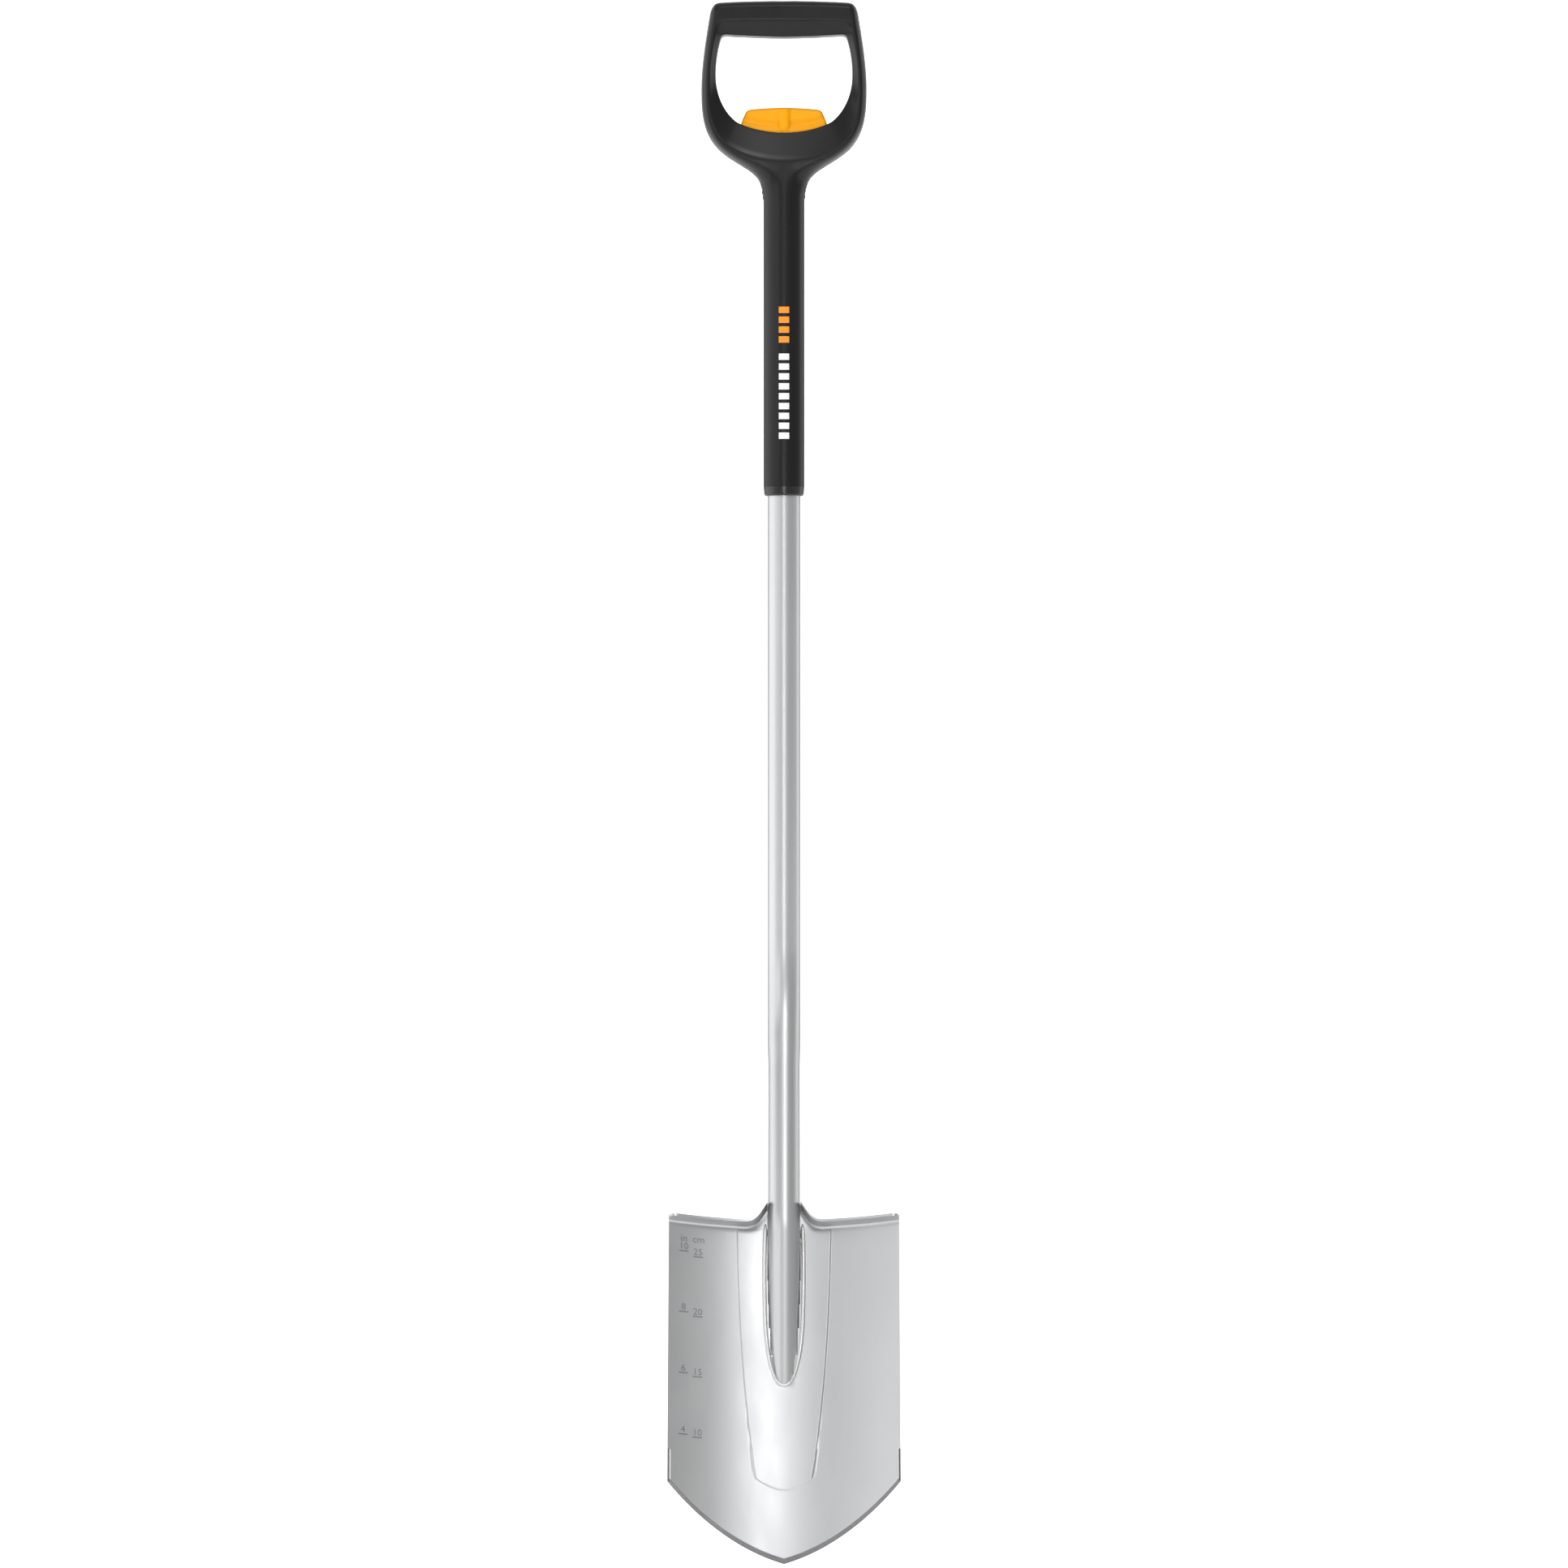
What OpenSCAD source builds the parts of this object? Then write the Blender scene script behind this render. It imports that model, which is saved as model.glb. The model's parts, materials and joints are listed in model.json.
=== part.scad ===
// Telescopic pointed digging spade: D-grip with a release button, two-stage shaft and a formed steel blade.
// Origin: middle of the underside of the hand grip.
// X is across the blade, -Y is the front, Z is up. Millimetres.

/* [Hand grip] */
// half width of the D at its widest
grip_half_w = 67.3; // [60:0.1:75]
// height of the D above the origin
grip_top = 29.7; // [25:0.1:35]
// half depth of the D, front to back
grip_half_d = 17; // [14:0.5:20]
// half depth of the straight land inside the hand opening
land_half_d = 9; // [6:0.5:12]
// depth of the hand opening below the origin
opening_depth = 77.6; // [70:0.1:85]
// chamfer on the outer edge of the D
edge_chamfer = 3; // [1:0.5:5]
// outer radius of the sleeve below the D
sleeve_r = 16.75; // [15:0.05:18]
// height where the neck of the D has narrowed to the sleeve
neck_z = -131; // [-140:1:-125]
// lower end of the sleeve
sleeve_end = -365.1; // [-380:0.1:-340]
// lower end of the collar that closes the sleeve
collar_end = -372.3; // [-385:0.1:-366]

/* [Telescopic shaft] */
// outer radius of the bright tube
tube_r = 13.5; // [12:0.1:15]
// wall of the bright tube
tube_wall = 1.8; // [1.2:0.1:2.5]
// radius of the tube below its bend
tube_low_r = 12.9; // [11:0.1:13.5]
// top of the bright tube when fully drawn out
tube_top = -322; // [-330:1:-315]
// travel of the shaft into the grip
travel = 200; // [150:10:250]
// distance between two latch holes
hole_pitch = 50; // [25:5:50]
// height of the latch nose
latch_z = -344; // [-348:1:-342]
// start of the bend
bend_z = -734.1; // [-760:0.1:-700]
// angle of the bend
bend_deg = 26; // [15:1:30]
// centre-line radius of the bend
bend_r = 186; // [120:1:250]
// outer radius of the liner tube
liner_r = 15; // [14.5:0.1:15.5]
// wall of the liner tube
liner_wall = 1.1; // [0.8:0.1:1.5]

/* [Release] */
// travel of the button
press = 8; // [4:0.5:9]
// half depth of the button
button_half_d = 6.9; // [5:0.1:7]
// half width of the button at the lip
button_half_w = 35; // [30:0.1:36]
// radius of the push rod
rod_r = 3.9; // [3:0.1:4]
// outer radius of the stem that carries the latch
stem_r = 6; // [5:0.1:7]

/* [Blade] */
// tilt of the blade from upright
blade_tilt = 22; // [15:1:30]
// half width of the blade
blade_half_w = 92; // [80:1:110]
// length of the blade below the fold of the tread
blade_len = 278.4; // [240:0.1:320]
// height of the shoulders where the point begins, below the fold
shoulder = 216.5; // [180:0.5:230]
// thickness of the blade sheet
sheet = 2; // [1.5:0.1:3]
// radius of the blade's dish across its width
dish_r = 226; // [180:1:300]
// depth of the tread, fold to front edge
tread_d = 13; // [10:0.5:20]
// corner radius of the tread
tread_corner = 8; // [4:0.5:12]
// height of the raised middle panel
panel_h = 1.2; // [0.6:0.1:2]
// height of the ears that rise beside the tube
ear_h = 18; // [12:0.5:25]
// half width over the ears at the tread
ear_half_w = 31; // [25:0.5:40]

/* [Hidden] */
$fn = 96;
big = 400;
tube_bore = tube_r - tube_wall;
bend_drop = bend_z - bend_r * sin(bend_deg);
liner_bore = liner_r - liner_wall;
run = 0.05;
bend_draw = 0.1;
fold_z = -961.6;
fold_y = -85.4;
elbow_z = -952.3;
bend_reach = (bend_drop - elbow_z) / cos(bend_deg);
elbow_y = -85.6;
nose_tilt = 15.2;
seat_tilt = 25.8;
nose_tip_z = -1083.8;
nose_tip_y = -134.7;
button_skirt = -84;
button_top = -56.8;
button_waist = -71.5;
pocket_floor = button_skirt - press - 2;
pocket_half_d = 7.1;
plug_top = -98;
plug_end = -112;
plug_r = 9;
hub_end = -115;
liner_top = -118;
liner_end = -349;
bush_end = -361;
block_top = -330.1;
block_end = -362;
block_r = 11.3;
stem_bore = 4.3;
stem_top = -99;
stem_end = -340;
rod_top = -63;
wedge_top = -341;
wedge_end = -354;
spring_top = -76.4;
spring_r = 4.75;
wire_r = 0.4;
coils = 6;
seat_t = 1;
dowel_z = -150;
dowel_r = 1.5;
pin_r = 1;
rod_pin_z = -69;
rivet_z = -326;
rivet_r = 1.2;
bush_low = -330;
key_half_w = 2.2;
hole_r = 4.2;
screw_r = 1.6;
head_r = 2.8;
head_y = 14;
flare_mid = -28.5;
flare_x = 1.097;
flare_z = 1.452;
screw_at = [[-40, 21], [0, 21.5], [40, 21], [-41.5, -95], [41.5, -95]];

function cubic(a, b, c, d, t, u) = u * u * u * a + 3 * u * u * t * b + 3 * u * t * t * c + t * t * t * d;
function bez(a, b, c, d, n = 6) = [for (i = [0:n - 1]) cubic(a, b, c, d, i / n, 1 - i / n)];
function flip(p) = [for (i = [len(p) - 1:-1:0]) [-p[i][0], p[i][1]]];

grip_side = concat(
  bez([0, grip_top], [20, grip_top], [40, grip_top - 0.5], [53, grip_top - 1.4]),
  bez(
    [53, grip_top - 1.4],
    [58, grip_top - 1.8],
    [grip_half_w - 7.5, grip_top - 7.2],
    [grip_half_w - 6.7, grip_top - 12.4]
  ),
  bez([grip_half_w - 6.7, grip_top - 12.4], [grip_half_w - 4.7, 4], [grip_half_w, -20], [grip_half_w, -43]),
  bez([grip_half_w, -43], [grip_half_w, -65], [grip_half_w - 2.3, -81], [50.4, -93.4])
);
neck_side = concat(
  bez([50.4, -93.4], [36, -105], [22, -108.5], [19.1, -119.8]),
  bez([19.1, -119.8], [17.9, -124.5], [sleeve_r, -127], [sleeve_r, neck_z], 6)
);
opening_side = concat(
  bez([0, 0], [16, 0.1], [33, 1], [46, 1.8], 6),
  bez([46, 1.8], [50, 2], [50.6, 0.5], [51.4, -1.5], 5),
  bez([51.4, -1.5], [54, -10], [55.5, -20], [55.5, -30]),
  bez([55.5, -30], [55.5, -47], [49, -61], [38.4, -69.1]),
  bez([38.4, -69.1], [28, -74.6], [14, -opening_depth], [0, -opening_depth]),
  [[0, -opening_depth]]
);
panel_side = concat(
  bez([37.6, 2], [36.2, -80], [32.5, -140], [22.4, -209]),
  bez([22.4, -209], [21.9, -212], [10, -218.7], [0, -218.7], 8),
  [[0, -218.7]]
);
point_side = concat(
  bez([blade_half_w, -shoulder], [67, -245], [35, -268], [0, -blade_len], 16),
  [[0, -blade_len]]
);
button_side = concat(
  bez([button_half_w, button_waist], [31.5, -65], [30.5, -59.8], [26.5, -59.3]),
  bez([26.5, -59.3], [18, -57.6], [9, button_top], [0, button_top])
);
rim_side = concat(
  bez([14.6, -8], [16.6, -30], [16.6, -55], [15, -82]),
  bez([15, -82], [13.4, -108], [9.5, -133.5], [0, -133.5], 12),
  [[0, -133.5]]
);

module upright(h) {
  rotate([90, 0, 0]) linear_extrude(height = h, center = true) children();
}

module grip_outline() {
  polygon(concat(grip_side, [[50.4, -93.4]], flip(concat(grip_side, [[50.4, -93.4]]))));
}

module opening_outline() {
  polygon(concat(opening_side, flip(opening_side)));
}

module half_plate() {
  straight = grip_half_d - edge_chamfer;
  rotate([90, 0, 0]) linear_extrude(height = straight) grip_outline();
  translate([0, -straight, -35]) rotate([90, 0, 0])
    linear_extrude(height = edge_chamfer, scale = 0.955, slices = 1, $fn = 8)
      translate([0, 35]) grip_outline();
}

module half_neck() {
  intersection() {
    rotate([0, 0, 180]) rotate_extrude(angle = 180) polygon(concat(
      [[0, -93.4]],
      neck_side,
      [[sleeve_r, neck_z], [sleeve_r, sleeve_end], [0, sleeve_end]]
    ));
    translate([-100, -grip_half_d, sleeve_end - 1]) cube([200, grip_half_d, 400]);
  }
}

module half_opening() {
  rotate([90, 0, 0]) translate([0, 0, -1]) linear_extrude(height = land_half_d + 1) opening_outline();
  flare_d = grip_half_d - land_half_d + 0.01;
  translate([0, -land_half_d, flare_mid]) rotate([90, 0, 0])
    linear_extrude(height = flare_d, scale = [flare_x, flare_z], slices = 1, $fn = 8)
      translate([0, -flare_mid]) opening_outline();
}

module grip_inside() {
  translate([-button_half_w - 0.4, -pocket_half_d, pocket_floor])
    cube([2 * button_half_w + 0.8, 2 * pocket_half_d, 40]);
  translate([0, 0, -86]) cylinder(r = 9.6, h = 20);
  translate([0, 0, plug_top - 1]) cylinder(r = rod_r + 0.5, h = 10);
  translate([0, 0, plug_end]) cylinder(r = plug_r, h = plug_top - plug_end);
  translate([0, 0, plug_end + 5]) cylinder(r = plug_r + 2, h = 4);
  translate([0, 0, hub_end - 1]) cylinder(r = stem_r + 0.3, h = 6);
  translate([0, 0, liner_top - 1]) cylinder(r = liner_bore + 0.4, h = hub_end - liner_top + 1);
  translate([0, 0, sleeve_end - 1]) cylinder(r = liner_r, h = liner_top - sleeve_end + 1);
  for (side = [-1, 1]) {
    translate([0, 0, dowel_z]) rotate([0, side * 90, 0]) cylinder(r = dowel_r, h = sleeve_r - 0.6);
  }
}

module screw_holes() {
  for (p = screw_at) {
    translate([p[0], -8, p[1]]) rotate([-90, 0, 0]) cylinder(r = screw_r, h = 30, $fn = 24);
    translate([p[0], head_y - 2, p[1]]) rotate([-90, 0, 0]) cylinder(r = head_r, h = 10, $fn = 32);
  }
}

module half_shell() {
  difference() {
    union() {
      half_plate();
      half_neck();
    }
    half_opening();
    grip_inside();
  }
}

module grip_front() {
  color([0.05, 0.05, 0.055]) difference() {
    half_shell();
    screw_holes();
  }
}

module grip_rear() {
  color([0.05, 0.05, 0.055]) difference() {
    rotate([0, 0, 180]) half_shell();
    screw_holes();
  }
}

module grip_screws() {
  color([0.45, 0.46, 0.48]) for (p = screw_at) {
    difference() {
      union() {
        translate([p[0], -7.5, p[1]]) rotate([-90, 0, 0]) cylinder(r = screw_r, h = head_y + 7.5, $fn = 24);
        translate([p[0], head_y - 2, p[1]]) rotate([-90, 0, 0]) cylinder(r = head_r - 0.2, h = 2, $fn = 32);
      }
      translate([p[0] - 0.4, head_y - 0.8, p[1] - 2]) cube([0.8, 2, 4]);
      translate([p[0] - 2, head_y - 0.8, p[1] - 0.4]) cube([4, 2, 0.8]);
    }
  }
}

module liner_tube() {
  color([0.6, 0.61, 0.63]) difference() {
    translate([0, 0, liner_end]) cylinder(r = liner_r, h = liner_top - liner_end);
    translate([0, 0, liner_end - 1]) cylinder(r = liner_bore, h = liner_top - liner_end + 2);
    translate([-big, 0, dowel_z]) rotate([0, 90, 0]) cylinder(r = dowel_r, h = 2 * big);
  }
}

module liner_dowels() {
  color([0.5, 0.5, 0.52]) for (side = [-1, 1]) {
    translate([side * (liner_bore + sleeve_r - 0.6) / 2, 0, dowel_z]) rotate([0, 90, 0])
      cylinder(r = dowel_r, h = sleeve_r - liner_bore - 0.7, center = true);
  }
}

module end_collar() {
  color([0.045, 0.045, 0.05]) rotate_extrude() polygon([
    [tube_r + 0.4, collar_end],
    [sleeve_r - 1.35, collar_end],
    [sleeve_r - 0.6, collar_end + 1.2],
    [sleeve_r, sleeve_end],
    [liner_r, sleeve_end],
    [liner_r, bush_end],
    [tube_r + 0.4, bush_end]
  ]);
}

module slide_bush() {
  color([0.82, 0.82, 0.78]) {
    difference() {
      translate([0, 0, bush_end]) cylinder(r = liner_r, h = liner_end - bush_end);
      translate([0, 0, bush_end - 1]) cylinder(r = tube_r + run, h = liner_end - bush_end + 2);
    }
    translate([0.2 - key_half_w, tube_r - 0.7, bush_end])
      cube([2 * key_half_w - 0.4, 1.2, liner_end - bush_end]);
  }
}

module stem_plug() {
  color([0.12, 0.12, 0.13]) difference() {
    union() {
      translate([0, 0, plug_end]) cylinder(r = plug_r, h = plug_top - plug_end);
      translate([0, 0, plug_end + 5]) cylinder(r = plug_r + 2, h = 4);
    }
    translate([0, 0, plug_end - 1]) cylinder(r = stem_r, h = stem_top - plug_end + 1);
    translate([0, 0, stem_top - 1]) cylinder(r = stem_bore, h = 5);
    translate([-big, 0, plug_end + 2.5]) rotate([0, 90, 0]) cylinder(r = pin_r, h = 2 * big, $fn = 24);
  }
}

module stem() {
  color([0.62, 0.63, 0.65]) difference() {
    translate([0, 0, stem_end]) cylinder(r = stem_r, h = stem_top - stem_end);
    translate([0, 0, stem_end - 1]) cylinder(r = stem_bore, h = stem_top - stem_end + 2);
    translate([-big, 0, plug_end + 2.5]) rotate([0, 90, 0]) cylinder(r = pin_r, h = 2 * big, $fn = 24);
    translate([-big, 0, stem_end + 5]) rotate([0, 90, 0]) cylinder(r = pin_r, h = 2 * big, $fn = 24);
  }
}

module stem_pins() {
  color([0.5, 0.5, 0.52]) for (side = [-1, 1]) {
    translate([side * (plug_r + stem_bore) / 2, 0, plug_end + 2.5]) rotate([0, 90, 0])
      cylinder(r = pin_r, h = plug_r - stem_bore - 0.2, center = true, $fn = 24);
  }
}

module latch_block() {
  color([0.2, 0.2, 0.21]) difference() {
    translate([0, 0, block_end]) cylinder(r = block_r, h = block_top - block_end);
    translate([0, 0, stem_end]) cylinder(r = stem_r, h = 20);
    translate([0, 0, block_end - 1]) cylinder(r = rod_r + 0.6, h = 40);
    translate([-4.4, 2, block_end + 1.5]) cube([8.8, 20, 24]);
    translate([-big, 0, stem_end + 5]) rotate([0, 90, 0]) cylinder(r = pin_r, h = 2 * big, $fn = 24);
  }
}

module latch_pins() {
  color([0.5, 0.5, 0.52]) for (side = [-1, 1]) {
    translate([side * (block_r + stem_bore) / 2, 0, stem_end + 5]) rotate([0, 90, 0])
      cylinder(r = pin_r, h = block_r - stem_bore - 0.4, center = true, $fn = 24);
  }
}

module latch_leaf() {
  color([0.66, 0.67, 0.69]) {
    translate([-3, 8, block_end + 1.5]) cube([6, 0.8, 22]);
    translate([-3, 5.4, block_end + 1.5]) cube([6, 3, 0.8]);
    translate([0, 8.4, latch_z]) rotate([-90, 0, 0])
      cylinder(r = hole_r - 0.2, h = tube_r - 8.8, $fn = 48);
  }
}

module button() {
  color([0.99, 0.55, 0.04]) difference() {
    union() {
      upright(2 * button_half_d) polygon(concat(
        [[-button_half_w, button_skirt], [button_half_w, button_skirt], [button_half_w, button_waist]],
        button_side,
        flip(button_side),
        [[-button_half_w, button_waist]]
      ));
      for (side = [-1, 1]) {
        translate([0, side * (button_half_d - 2.6), -75]) cylinder(r = 4.9, h = 17.6);
      }
    }
    translate([0, 0, button_skirt - 1]) cylinder(r = 5.6, h = spring_top - button_skirt + 1);
    translate([0, 0, button_skirt - 1]) cylinder(r = rod_r, h = rod_top - button_skirt + 1);
    for (side = [-1, 1]) {
      translate([side * 21.5 - 11, -button_half_d + 2, button_skirt - 1])
        cube([22, 2 * button_half_d - 4, 19]);
    }
    translate([0, -big, rod_pin_z]) rotate([-90, 0, 0]) cylinder(r = pin_r, h = 2 * big, $fn = 24);
  }
}

module push_rod() {
  color([0.6, 0.61, 0.63]) difference() {
    translate([0, 0, wedge_top]) cylinder(r = rod_r, h = rod_top - wedge_top);
    translate([0, -big, rod_pin_z]) rotate([-90, 0, 0]) cylinder(r = pin_r, h = 2 * big, $fn = 24);
  }
}

module rod_pin() {
  color([0.5, 0.5, 0.52]) translate([0, 0, rod_pin_z]) rotate([90, 0, 0])
    cylinder(r = pin_r, h = 2 * button_half_d - 2, center = true, $fn = 24);
}

module release_wedge() {
  color([0.25, 0.25, 0.26]) {
    translate([0, 0, wedge_end]) cylinder(r = rod_r, h = wedge_top - wedge_end);
    translate([-1.5, 0, 0]) rotate([90, 0, 90]) linear_extrude(height = 3) polygon([
      [0, wedge_end + 6],
      [7.6, wedge_end + 7],
      [5, wedge_top - 1],
      [0, wedge_top - 1]
    ]);
  }
}

module spring_seat() {
  color([0.6, 0.61, 0.63]) difference() {
    translate([0, 0, pocket_floor]) cylinder(r = 6.4, h = seat_t);
    translate([0, 0, pocket_floor - 1]) cylinder(r = rod_r + 0.4, h = seat_t + 2);
  }
}

module return_spring() {
  low = pocket_floor + seat_t + wire_r + 0.1;
  high = spring_top - wire_r - 0.1;
  color([0.7, 0.71, 0.73]) translate([0, 0, low])
    linear_extrude(height = high - low, twist = -360 * coils, slices = 16 * coils, $fn = 6)
      translate([spring_r, 0]) circle(r = wire_r, $fn = 6);
}

module bend_core(r, over) {
  translate([0, -bend_r, bend_z]) rotate([0, 90, 0]) rotate([0, 0, 90 - bend_deg - over])
    rotate_extrude(angle = bend_deg + 2 * over)
      translate([bend_r, 0]) circle(r = r);
}

module below_bend(r_top, r_low) {
  translate([0, -bend_r * (1 - cos(bend_deg)), bend_drop]) rotate([-bend_deg, 0, 0]) {
    translate([0, 0, -20]) cylinder(r1 = r_low, r2 = r_top, h = 20);
    translate([0, 0, -bend_reach - 8]) cylinder(r = r_low, h = bend_reach - 12);
  }
}

module nose_bar(r) {
  translate([0, elbow_y, elbow_z]) rotate([-nose_tilt, 0, 0])
    translate([0, 0, -170]) cylinder(r = r, h = 178);
}

module above_miter() {
  translate([0, elbow_y, elbow_z]) rotate([-(bend_deg + nose_tilt) / 2, 0, 0])
    translate([-60, -60, 0]) cube([120, 120, 400]);
}

module below_miter() {
  translate([0, elbow_y, elbow_z]) rotate([-(bend_deg + nose_tilt) / 2, 0, 0])
    translate([-60, -60, -400]) cube([120, 120, 400]);
}

module behind_seat(back = 0) {
  translate([0, nose_tip_y, nose_tip_z]) rotate([-seat_tilt, 0, 0])
    translate([-100, back, -200]) cube([200, 200, 400]);
}

module shaft_tube() {
  color([0.72, 0.73, 0.75]) union() {
    difference() {
      translate([0, 0, bend_z]) cylinder(r = tube_r, h = tube_top - bend_z);
      translate([0, 0, bend_z - 1]) cylinder(r = tube_bore, h = tube_top - bend_z + 2);
      for (i = [0:4]) {
        translate([0, 0, latch_z - i * hole_pitch]) rotate([-90, 0, 0])
          cylinder(r = hole_r, h = 20, $fn = 48);
      }
      translate([-key_half_w, tube_r - 0.9, bush_end - travel - 12])
        cube([2 * key_half_w, 5, travel + 60]);
    }
    difference() {
      bend_core(tube_r - bend_draw, 0.4);
      bend_core(tube_bore + bend_draw, 0.8);
    }
    intersection() {
      difference() {
        below_bend(tube_r, tube_low_r);
        below_bend(tube_bore, tube_low_r - tube_wall);
      }
      above_miter();
    }
    difference() {
      intersection() {
        difference() {
          nose_bar(tube_low_r);
          nose_bar(tube_low_r - tube_wall);
        }
        below_miter();
      }
      behind_seat();
    }
  }
}

module top_bush() {
  color([0.82, 0.82, 0.78]) difference() {
    union() {
      translate([0, 0, tube_top]) cylinder(r = liner_bore - run, h = 6);
      translate([0, 0, bush_low]) cylinder(r = tube_bore, h = tube_top - bush_low);
    }
    translate([0, 0, bush_low - 1]) cylinder(r = stem_r + 0.4, h = 20);
    translate([-big, 0, rivet_z]) rotate([0, 90, 0]) cylinder(r = rivet_r, h = 2 * big, $fn = 24);
    translate([-key_half_w, tube_r - 0.9, tube_top]) cube([2 * key_half_w, 5, 10]);
  }
}

module bush_rivets() {
  color([0.5, 0.5, 0.52]) for (side = [-1, 1]) {
    translate([side * 9, 0, rivet_z]) rotate([0, 90, 0])
      cylinder(r = rivet_r, h = 2 * (tube_bore - 9.15), center = true, $fn = 24);
  }
}

module on_blade() {
  translate([0, fold_y, fold_z]) rotate([-blade_tilt, 0, 0]) children();
}

module dished(front, back) {
  difference() {
    translate([0, -dish_r, -blade_len - 5]) cylinder(r = dish_r + back, h = blade_len + 45, $fn = 240);
    translate([0, -dish_r, -blade_len - 6]) cylinder(r = dish_r - front, h = blade_len + 50, $fn = 240);
    translate([-big, -2 * big - 60, -big]) cube([2 * big, 2 * big, 2 * big]);
  }
}

function ear_line() = bez([ear_half_w, 0], [ear_half_w - 9, 0.4], [20, 6], [12.4, ear_h]);

module blade_outline() {
  polygon(concat([[blade_half_w, 0]], point_side, flip(concat([[blade_half_w, 0]], point_side))));
  for (side = [0, 1]) {
    mirror([side, 0, 0]) polygon(concat(
      ear_line(),
      [[12.4, ear_h], [9, ear_h], [9, -4], [ear_half_w, -4]]
    ));
  }
}

module panel_outline() {
  polygon(concat(panel_side, flip(panel_side)));
}

module tread_top() {
  corner_x = blade_half_w - tread_corner;
  corner_y = sqrt(pow(dish_r - tread_d, 2) - pow(corner_x, 2)) - dish_r + tread_corner * 1.3;
  intersection() {
    difference() {
      translate([0, -dish_r, 0]) cylinder(r = dish_r + sheet, h = sheet, $fn = 240);
      translate([0, -dish_r, -1]) cylinder(r = dish_r - tread_d, h = 5, $fn = 240);
    }
    linear_extrude(height = 10, center = true) union() {
      translate([-corner_x, -60]) square([2 * corner_x, 80]);
      translate([-blade_half_w, -27]) square([2 * blade_half_w, 80]);
      for (side = [-1, 1]) {
        translate([side * corner_x, corner_y]) circle(r = tread_corner);
      }
    }
  }
}

module ears() {
  for (side = [0, 1]) {
    mirror([side, 0, 0]) translate([0, sheet, 0]) rotate([90, 0, 0])
      linear_extrude(height = tread_d + sheet) polygon(concat(
        ear_line(),
        [[12.4, ear_h]],
        bez([14.2, ear_h + 0.8], [21.5, 7.6], [ear_half_w - 7, 2.6], [ear_half_w + 0.5, sheet]),
        [[ear_half_w + 0.5, sheet], [ear_half_w + 0.5, 0]]
      ));
  }
}

module ear_gap() {
  translate([-ear_half_w, -40, -1]) cube([2 * ear_half_w, 80, 10]);
}

module blade() {
  color([0.7, 0.71, 0.73]) difference() {
    union() {
      on_blade() {
        intersection() {
          dished(0, sheet);
          upright(100) blade_outline();
        }
        intersection() {
          dished(panel_h, sheet / 2);
          upright(100) panel_outline();
        }
        difference() {
          tread_top();
          ear_gap();
        }
        ears();
      }
      difference() {
        intersection() {
          nose_bar(tube_low_r + 2);
          on_blade() translate([-100, 0, -150]) cube([200, 100, 150 + ear_h]);
        }
        behind_seat(2);
      }
    }
    difference() {
      nose_bar(tube_low_r);
      behind_seat();
    }
    intersection() {
      below_bend(tube_r, tube_low_r);
      above_miter();
    }
  }
}

module socket_weld() {
  color([0.66, 0.67, 0.69]) difference() {
    on_blade() difference() {
      intersection() {
        upright(100) polygon(concat(rim_side, flip(rim_side)));
        dished(panel_h + 2, 0);
      }
      dished(panel_h, sheet + 10);
    }
    nose_bar(tube_low_r);
    below_bend(tube_r, tube_low_r);
  }
}

grip_front();
grip_rear();
grip_screws();
liner_tube();
liner_dowels();
end_collar();
slide_bush();
stem_plug();
stem();
stem_pins();
latch_block();
latch_pins();
latch_leaf();
button();
push_rod();
rod_pin();
release_wedge();
spring_seat();
return_spring();
shaft_tube();
top_bush();
bush_rivets();
blade();
socket_weld();
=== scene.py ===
import json
import math

import bmesh
import bpy
import numpy as np
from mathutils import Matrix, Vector

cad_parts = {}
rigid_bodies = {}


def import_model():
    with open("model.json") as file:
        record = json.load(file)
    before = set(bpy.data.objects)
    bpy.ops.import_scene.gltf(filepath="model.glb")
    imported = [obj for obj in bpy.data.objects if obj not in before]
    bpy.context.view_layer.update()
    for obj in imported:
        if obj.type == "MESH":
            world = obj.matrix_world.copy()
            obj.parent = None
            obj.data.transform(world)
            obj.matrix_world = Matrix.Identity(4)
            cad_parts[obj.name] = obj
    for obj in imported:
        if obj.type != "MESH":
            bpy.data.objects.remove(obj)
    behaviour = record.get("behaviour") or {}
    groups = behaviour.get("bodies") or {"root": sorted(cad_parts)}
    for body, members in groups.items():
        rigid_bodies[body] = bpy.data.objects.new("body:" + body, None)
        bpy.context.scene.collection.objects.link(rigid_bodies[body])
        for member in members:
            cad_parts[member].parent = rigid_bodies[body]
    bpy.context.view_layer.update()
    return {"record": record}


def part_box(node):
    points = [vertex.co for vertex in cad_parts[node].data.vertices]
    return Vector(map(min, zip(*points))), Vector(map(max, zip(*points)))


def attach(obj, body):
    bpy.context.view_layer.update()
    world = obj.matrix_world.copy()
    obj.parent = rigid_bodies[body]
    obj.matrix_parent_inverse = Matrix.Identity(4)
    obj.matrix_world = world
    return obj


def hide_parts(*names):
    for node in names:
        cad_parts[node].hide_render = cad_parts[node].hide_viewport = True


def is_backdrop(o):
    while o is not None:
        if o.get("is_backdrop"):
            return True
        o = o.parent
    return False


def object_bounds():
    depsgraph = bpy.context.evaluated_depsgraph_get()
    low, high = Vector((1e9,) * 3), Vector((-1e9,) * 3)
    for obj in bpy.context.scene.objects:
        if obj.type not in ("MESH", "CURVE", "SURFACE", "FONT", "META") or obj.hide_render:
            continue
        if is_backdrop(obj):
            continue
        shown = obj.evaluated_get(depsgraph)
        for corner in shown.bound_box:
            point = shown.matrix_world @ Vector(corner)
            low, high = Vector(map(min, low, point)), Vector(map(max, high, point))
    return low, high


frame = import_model()
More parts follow.
